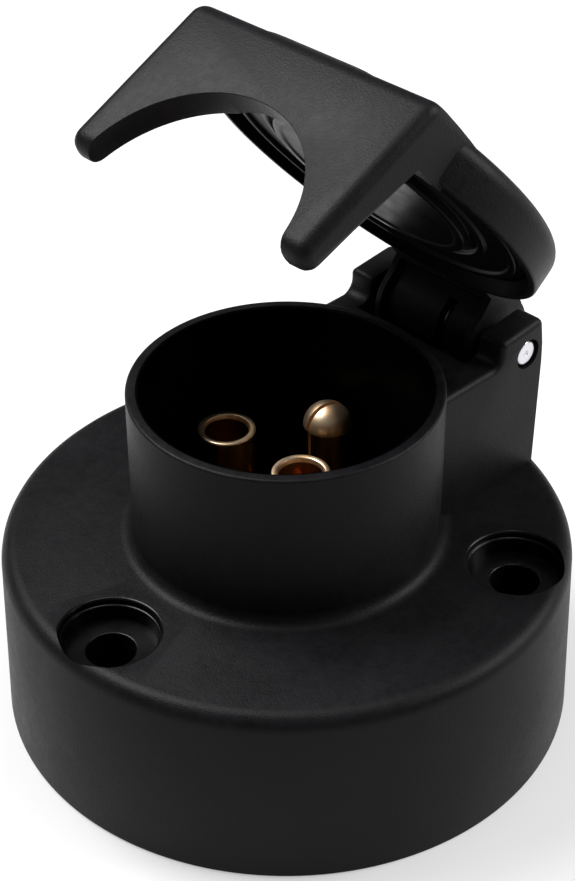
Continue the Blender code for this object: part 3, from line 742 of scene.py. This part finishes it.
# %% Hinge pin
pin_low, pin_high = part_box("hinge_pin")
PIN_HALF = (pin_high.x - pin_low.x) / 2
hinge_pin_shape = turned([
    (0.0, -PIN_HALF + 0.3 * MM), (0.35 * MM, -PIN_HALF, 0.08 * MM), (1.6 * MM, -PIN_HALF, 0.38 * MM),
    (1.6 * MM, PIN_HALF, 0.38 * MM), (0.35 * MM, PIN_HALF, 0.08 * MM), (0.0, PIN_HALF - 0.3 * MM)], 64)
bmesh.ops.transform(hinge_pin_shape, verts=hinge_pin_shape.verts,
                    matrix=Matrix.Translation(HINGE) @ Matrix.Rotation(math.radians(90), 4, "Y"))
hinge_pin = smooth(finish_mesh("plated_hinge_pin", hinge_pin_shape, zinc))
place(hinge_pin, "hinge_pin", "housing", "zinc_steel")

# %% [markdown]
# ## Lid spring
#
# The spring is a coil of round wire about the pin, with one leg on the housing and one under the
# web. A helix needs no face lists: one short edge ring is screwed by spin with a step along the
# axis.

# %% Coil and legs
WIRE, COIL, TURNS = 0.36 * MM, 2.4 * MM, 5
FIRST_X, LAST_X = 2.2 * MM, -2.4 * MM
FRONT_LEG, REAR_LEG = 5.2 * MM, 1.2 * MM
START = math.radians(180)
END = math.radians(90) - OPENING - 2 * math.pi * TURNS
STEPS = TURNS * 32


def on_coil(angle):
    """Direction from the axis of the coil to an angle round it."""
    return Vector((0.0, math.cos(angle), math.sin(angle)))


spring_shape = bmesh.new()
ring = bmesh.ops.create_circle(spring_shape, segments=12, radius=WIRE)["verts"]
first = on_coil(START)
stand = Matrix((Vector((1, 0, 0)), first, Vector((1, 0, 0)).cross(first))).transposed().to_4x4()
bmesh.ops.transform(spring_shape, verts=ring, matrix=Matrix.Translation(
    HINGE + first * COIL + Vector((FIRST_X, 0, 0))) @ stand)
leg = bmesh.ops.extrude_edge_only(spring_shape, edges=spring_shape.edges[:])
leg_verts = [part for part in leg["geom"] if isinstance(part, bmesh.types.BMVert)]
back_along = Vector((0.0, math.sin(START), -math.cos(START)))
bmesh.ops.translate(spring_shape, verts=leg_verts, vec=-back_along * FRONT_LEG)
ring_edges = [edge for edge in spring_shape.edges if all(vert in ring for vert in edge.verts)]
coil = bmesh.ops.spin(spring_shape, geom=ring + ring_edges, angle=END - START, steps=STEPS,
                      axis=(1, 0, 0), cent=HINGE, dvec=((LAST_X - FIRST_X) / STEPS, 0, 0))
last_edges = [part for part in coil["geom_last"] if isinstance(part, bmesh.types.BMEdge)]
leg = bmesh.ops.extrude_edge_only(spring_shape, edges=last_edges)
end_verts = [part for part in leg["geom"] if isinstance(part, bmesh.types.BMVert)]
forward = Vector((0.0, math.sin(END), -math.cos(END)))
bmesh.ops.translate(spring_shape, verts=end_verts, vec=forward * REAR_LEG)
open_ends = [edge for edge in spring_shape.edges if edge.is_boundary]
bmesh.ops.holes_fill(spring_shape, edges=open_ends, sides=0)
spring = smooth(finish_mesh("spring_coil", spring_shape, wire_steel), 50)
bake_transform(spring)
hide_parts("lid_spring")

# %% [markdown]
# ## Rear seal and screws
#
# The plug behind the base is the same rubber as the lid seal and has a sleeve for the cable. It is a
# spun disc with the sleeve joined on and a hole for each fixing boss. The small screws keep their CAD
# shape, which is right, and take the plated finish.

# %% Rear seal
seal_radius = BASE_FOOT - 3.0 * MM
rear = finish_mesh("rear_seal_plug", turned([
    (0.0, 0.3 * MM), (seal_radius, 0.3 * MM, 0.3 * MM), (seal_radius - 0.2 * MM, 2.4 * MM, 0.3 * MM),
    (0.0, 2.4 * MM)], 144), rubber)
cable = on_circle(24 * MM, 210)
combine(rear, turned([
    (0.0, 0.9 * MM), (5.0 * MM, 0.9 * MM), (5.0 * MM, 3.4 * MM), (4.2 * MM, 9.0 * MM, 0.4 * MM),
    (0.0, 9.0 * MM)], 64, cable), "UNION")
combine(rear, rod(3.4 * MM, 30 * MM, (*cable, 5 * MM)), "DIFFERENCE")
for x, y in FIXINGS:
    combine(rear, rod(5.5 * MM, 12 * MM, (x, y, 0.0)), "DIFFERENCE")
smooth(rear)
place(rear, "rear_seal", "housing", "rubber")

# %% [markdown]
# A screw needs no new mesh here. Its own material list is emptied and given the plated steel.

# %% Screws take the plated finish
screws = [f"terminal_screw_{n}" for n in range(1, 8)] + [f"carrier_screw_{n}" for n in (1, 2)]
for name in screws:
    mesh = frame["nodes"][name].data
    mesh.materials.clear()
    mesh.materials.append(zinc)
print(len(screws), "screws dressed")

# %% [markdown]
# ## Studio
#
# A black part shows almost nothing but the reflections of its room. So the floor is kept pale, with
# one large soft light overhead on the left, which greys the claw, a smaller one straight above, and
# one behind on the right that brightens the floor there, which the wall of the lid mirrors.

# %% Floor
floor_shape = bmesh.new()
bmesh.ops.create_grid(floor_shape, x_segments=1, y_segments=1, size=3.0)
bmesh.ops.translate(floor_shape, verts=floor_shape.verts, vec=(0, 0, -0.05 * MM))
floor_paint, floor_shader, floor_position = new_material("matt_white_sweep", {"Roughness": 0.9})
speck = noise(floor_paint, floor_position, 25 * MM)
drive(floor_paint, floor_shader, Base_Color=mixed(floor_paint, speck, "a8a8a8", "aeaeae"))
floor_shader.inputs["Emission Color"].default_value = linear("ffffff")
floor_shader.inputs["Emission Strength"].default_value = 0.42
floor = finish_mesh("floor", floor_shape, floor_paint)


# %% Lights
def softbox(name, size, energy, location, target=(0.0, 0.0, 0.035)):
    """Rectangle of white light, in watts, turned to face a target."""
    data = bpy.data.lights.new(name, "AREA")
    data.shape = "RECTANGLE"
    data.size, data.size_y = size
    data.energy = energy
    item = bpy.data.objects.new(name, data)
    item.location = location
    item.rotation_euler = (Vector(target) - Vector(location)).to_track_quat("-Z", "Y").to_euler()
    bpy.context.scene.collection.objects.link(item)
    return item


softbox("overhead_box", (0.30, 0.30), 5.0, (-0.30, -0.10, 0.52))
softbox("top_box", (0.22, 0.22), 0.9, (0.02, 0.05, 0.60))
softbox("floor_box", (0.30, 0.30), 2.6, (0.30, 0.36, 0.30), (0.10, 0.14, 0.0))
world = bpy.data.worlds.new("pale_room")
world.use_nodes = True
world.node_tree.nodes["Background"].inputs["Color"].default_value = linear("ffffff")
world.node_tree.nodes["Background"].inputs["Strength"].default_value = 0.12
bpy.context.scene.world = world
bpy.context.scene.view_settings.view_transform = "Standard"

# %% [markdown]
# The camera looks down from the front right of the hinge, with a long lens so that the cup stays
# nearly round. Its place is given by a bearing, a distance from the axis of the cup and a height.

# %% Camera
HEADING, LOOK_DOWN, ROLL = math.radians(45.75), math.radians(35.74), math.radians(-0.37)
AWAY, BEARING, CAMERA_HEIGHT = 187.1 * MM, math.radians(45.8), 169.6 * MM
camera_data = bpy.data.cameras.new("camera")
camera_data.lens = 82.4
camera_data.sensor_width = 36.0
camera_data.clip_start = 0.01
camera = bpy.data.objects.new("camera", camera_data)
tripod = Vector((AWAY * math.sin(BEARING), -AWAY * math.cos(BEARING), CAMERA_HEIGHT))
camera.matrix_world = (Matrix.Translation(tripod) @ Matrix.Rotation(HEADING, 4, "Z")
                       @ Matrix.Rotation(math.radians(90) - LOOK_DOWN, 4, "X")
                       @ Matrix.Rotation(ROLL, 4, "Z"))
bpy.context.scene.collection.objects.link(camera)
bpy.context.scene.camera = camera
print("camera at", [round(v, 3) for v in camera.location])
